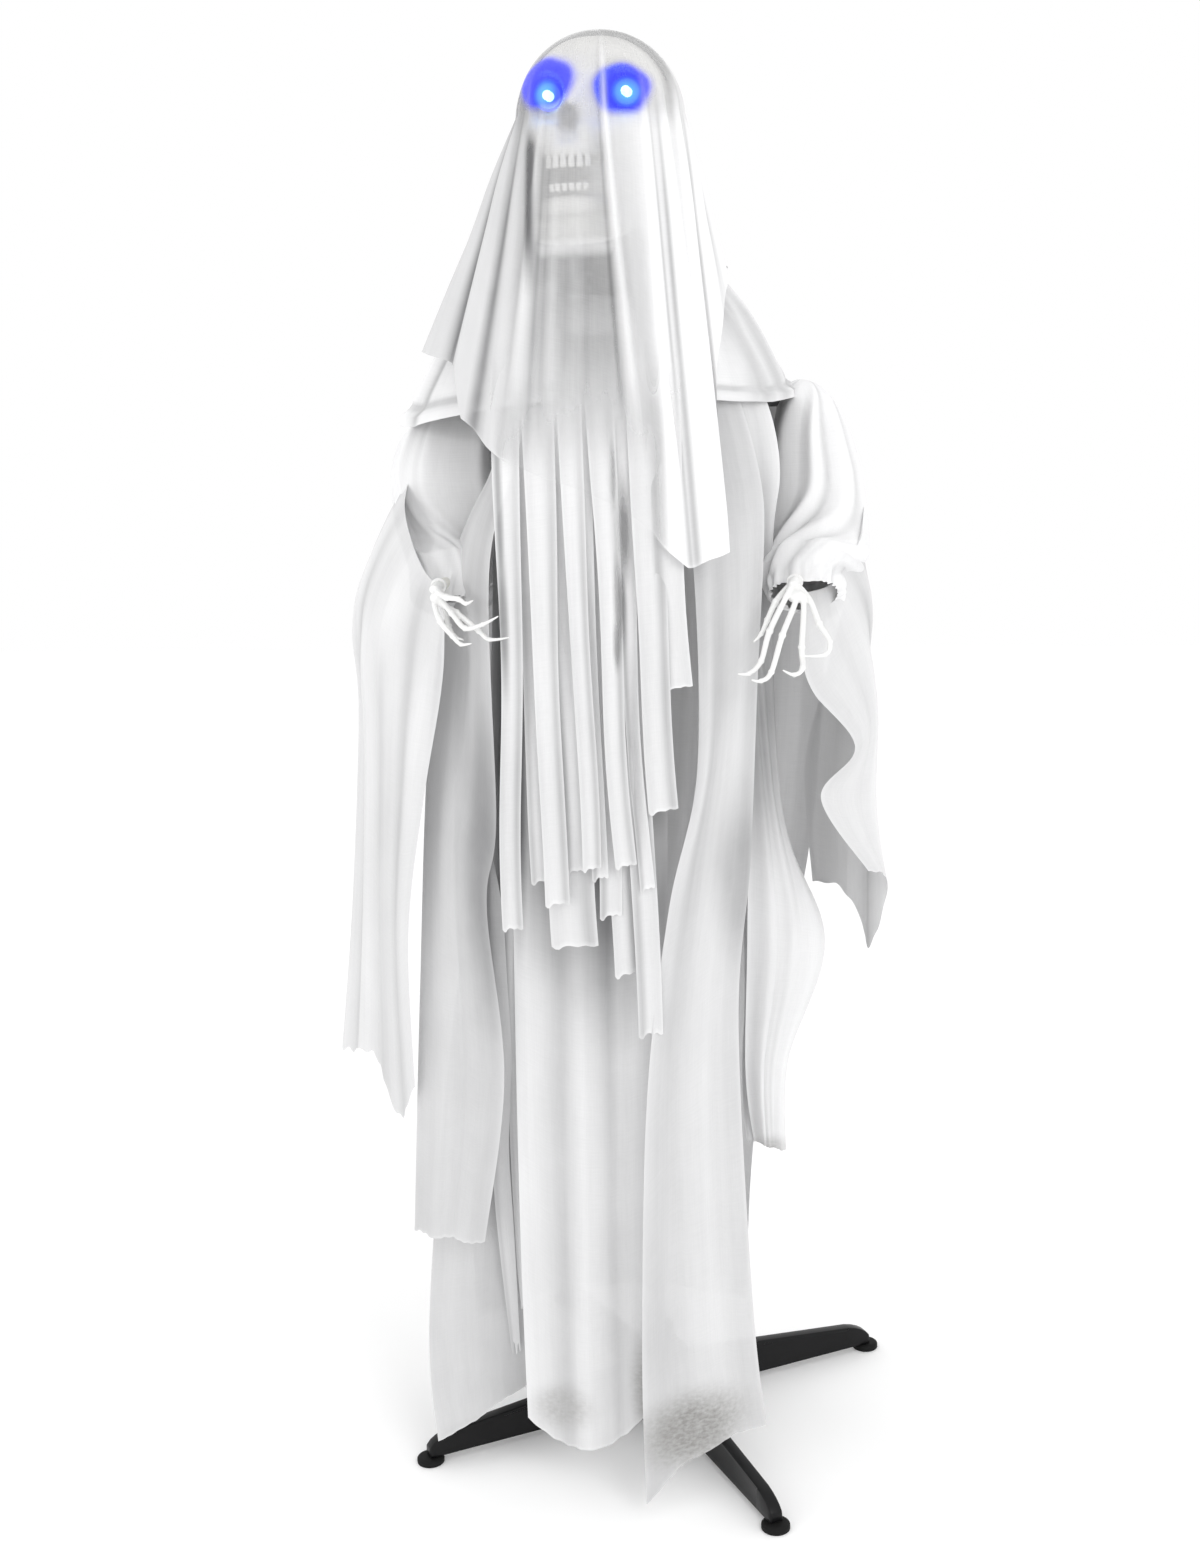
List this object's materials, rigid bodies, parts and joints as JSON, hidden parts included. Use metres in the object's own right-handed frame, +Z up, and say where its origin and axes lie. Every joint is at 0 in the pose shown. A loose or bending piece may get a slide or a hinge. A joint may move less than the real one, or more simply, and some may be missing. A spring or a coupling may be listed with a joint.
{
  "type": "animated ghost prop",
  "caption": "Standing hooded skeleton in layered white gauze on a folding black stand, with a motor-turned head, lit eyes, lifting arms and turning hands.",
  "frame": {"origin": "floor under the pole's axis", "axes": "+Z up along the pole, the figure faces -Y, +X is the figure's left"},
  "size_m": [0.6785, 0.5532, 1.6744],
  "materials": {
    "black_gloss": "gloss black moulded plastic",
    "black_rubber": "matt black rubber",
    "pole_steel": "black powder coat",
    "bare_steel": "plain steel",
    "torso_plastic": "dark grey plastic",
    "drive_plastic": "natural plastic",
    "board_green": "circuit board",
    "button_red": "red plastic",
    "bone_plastic": "off-white plastic",
    "eye_blue": "translucent blue",
    "lamp_clear": "clear blue lamp",
    "gauze_white": "sheer white gauze"
  },
  "bodies": {
    "stand": {"base_hub": "black_gloss", "leg_pins": "bare_steel", "clamp_screw": "black_gloss", "lower_pole": "pole_steel", "upper_pole": "pole_steel", "button_spring": "bare_steel", "torso_front_shell": "torso_plastic", "torso_rear_shell": "torso_plastic", "torso_screws": "bare_steel", "drive_plate": "torso_plastic", "drive_motor": "bare_steel", "neck_bush": "drive_plastic", "neck_column": "torso_plastic", "speaker": "torso_plastic", "sensor_lens": "torso_plastic", "control_board": "board_green", "battery_bay": "torso_plastic", "batteries": "bare_steel", "shoulder_bar": "pole_steel", "shoulder_brackets": "pole_steel", "shoulder_pins": "bare_steel", "shoulder_hoop": "bare_steel", "cape": "gauze_white", "robe_back": "gauze_white", "robe_front": "gauze_white", "robe_front_left": "gauze_white", "robe_front_right": "gauze_white", "side_drape_left": "gauze_white", "side_drape_right": "gauze_white"},
    "folding_leg_front_left": {"leg_front_left": "black_gloss", "foot_front_left": "black_rubber"},
    "folding_leg_front_right": {"leg_front_right": "black_gloss", "foot_front_right": "black_rubber"},
    "folding_leg_back_left": {"leg_back_left": "black_gloss", "foot_back_left": "black_rubber"},
    "folding_leg_back_right": {"leg_back_right": "black_gloss", "foot_back_right": "black_rubber"},
    "button": {"snap_button": "bare_steel"},
    "head": {"neck_shaft": "bare_steel", "neck_gear": "drive_plastic", "skull_face": "bone_plastic", "skull_back": "bone_plastic", "eye_cups": "eye_blue", "eye_lamps": "lamp_clear", "veil": "gauze_white", "veil_strips": "gauze_white"},
    "pinion": {"motor_pinion": "drive_plastic"},
    "arm_left": {"arm_tube_left": "pole_steel", "sleeve_left": "gauze_white"},
    "wrist_left": {"wrist_plug_left": "torso_plastic", "hand_left": "bone_plastic"},
    "arm_right": {"arm_tube_right": "pole_steel", "sleeve_right": "gauze_white"},
    "wrist_right": {"wrist_plug_right": "torso_plastic", "hand_right": "bone_plastic"},
    "door": {"battery_door": "torso_plastic"},
    "switch": {"power_switch": "torso_plastic"},
    "test": {"test_button": "button_red"}
  },
  "joints": [
    {"name": "leg_fold_front_left", "type": "hinge", "parent": "stand", "child": "folding_leg_front_left", "pos_m": [0.03285, -0.0478, 0.016], "axis": [0.8241, 0.5664, 0], "range_deg": [0, 90]},
    {"name": "leg_fold_front_right", "type": "hinge", "parent": "stand", "child": "folding_leg_front_right", "pos_m": [-0.0478, -0.03285, 0.016], "axis": [0.5664, -0.8241, 0], "range_deg": [0, 90]},
    {"name": "leg_fold_back_left", "type": "hinge", "parent": "stand", "child": "folding_leg_back_left", "pos_m": [0.0478, 0.03285, 0.016], "axis": [-0.5664, 0.8241, 0], "range_deg": [0, 90]},
    {"name": "leg_fold_back_right", "type": "hinge", "parent": "stand", "child": "folding_leg_back_right", "pos_m": [-0.03285, 0.0478, 0.016], "axis": [-0.8241, -0.5664, 0], "range_deg": [0, 90]},
    {"name": "button_press", "type": "slide", "parent": "stand", "child": "button", "axis": [0, -1, 0], "range_m": [0, 0.0035], "stiffness_N_per_m": 300, "springref_m": -0.004, "deforming": ["button_spring"]},
    {"name": "head_turn", "type": "hinge", "parent": "stand", "child": "head", "pos_m": [0, -0.095, 1.4], "axis": [0, 0, 1], "range_deg": [-30, 30], "deforming": ["veil", "veil_strips"]},
    {"name": "pinion_spin", "type": "hinge", "parent": "stand", "child": "pinion", "pos_m": [0, -0.0545, 1.34], "axis": [0, 0, 1], "range_deg": [-90, 90]},
    {"name": "arm_lift_left", "type": "hinge", "parent": "stand", "child": "arm_left", "pos_m": [0.2023, 0.015, 1.29], "axis": [-1, 0, 0], "range_deg": [-5, 45], "deforming": ["sleeve_left"]},
    {"name": "hand_turn_left", "type": "hinge", "parent": "arm_left", "child": "wrist_left", "pos_m": [0.2023, -0.15, 1.09], "axis": [0, 1, 0], "range_deg": [-30, 15]},
    {"name": "arm_lift_right", "type": "hinge", "parent": "stand", "child": "arm_right", "pos_m": [-0.2023, 0.015, 1.29], "axis": [-1, 0, 0], "range_deg": [-5, 45], "deforming": ["sleeve_right"]},
    {"name": "hand_turn_right", "type": "hinge", "parent": "arm_right", "child": "wrist_right", "pos_m": [-0.2023, -0.15, 1.09], "axis": [0, -1, 0], "range_deg": [-30, 15]},
    {"name": "door_slide", "type": "slide", "parent": "stand", "child": "door", "axis": [0, 0, -1], "range_m": [0, 0.07]},
    {"name": "switch_slide", "type": "slide", "parent": "stand", "child": "switch", "axis": [0, 0, 1], "range_m": [-0.004, 0.004]},
    {"name": "test_press", "type": "slide", "parent": "stand", "child": "test", "axis": [0, -1, 0], "range_m": [0, 0.0025], "stiffness_N_per_m": 250, "springref_m": -0.004}
  ],
  "couplings": [
    {"joint": "pinion_spin", "follows": "head_turn", "ratio": -2.8571}
  ]
}
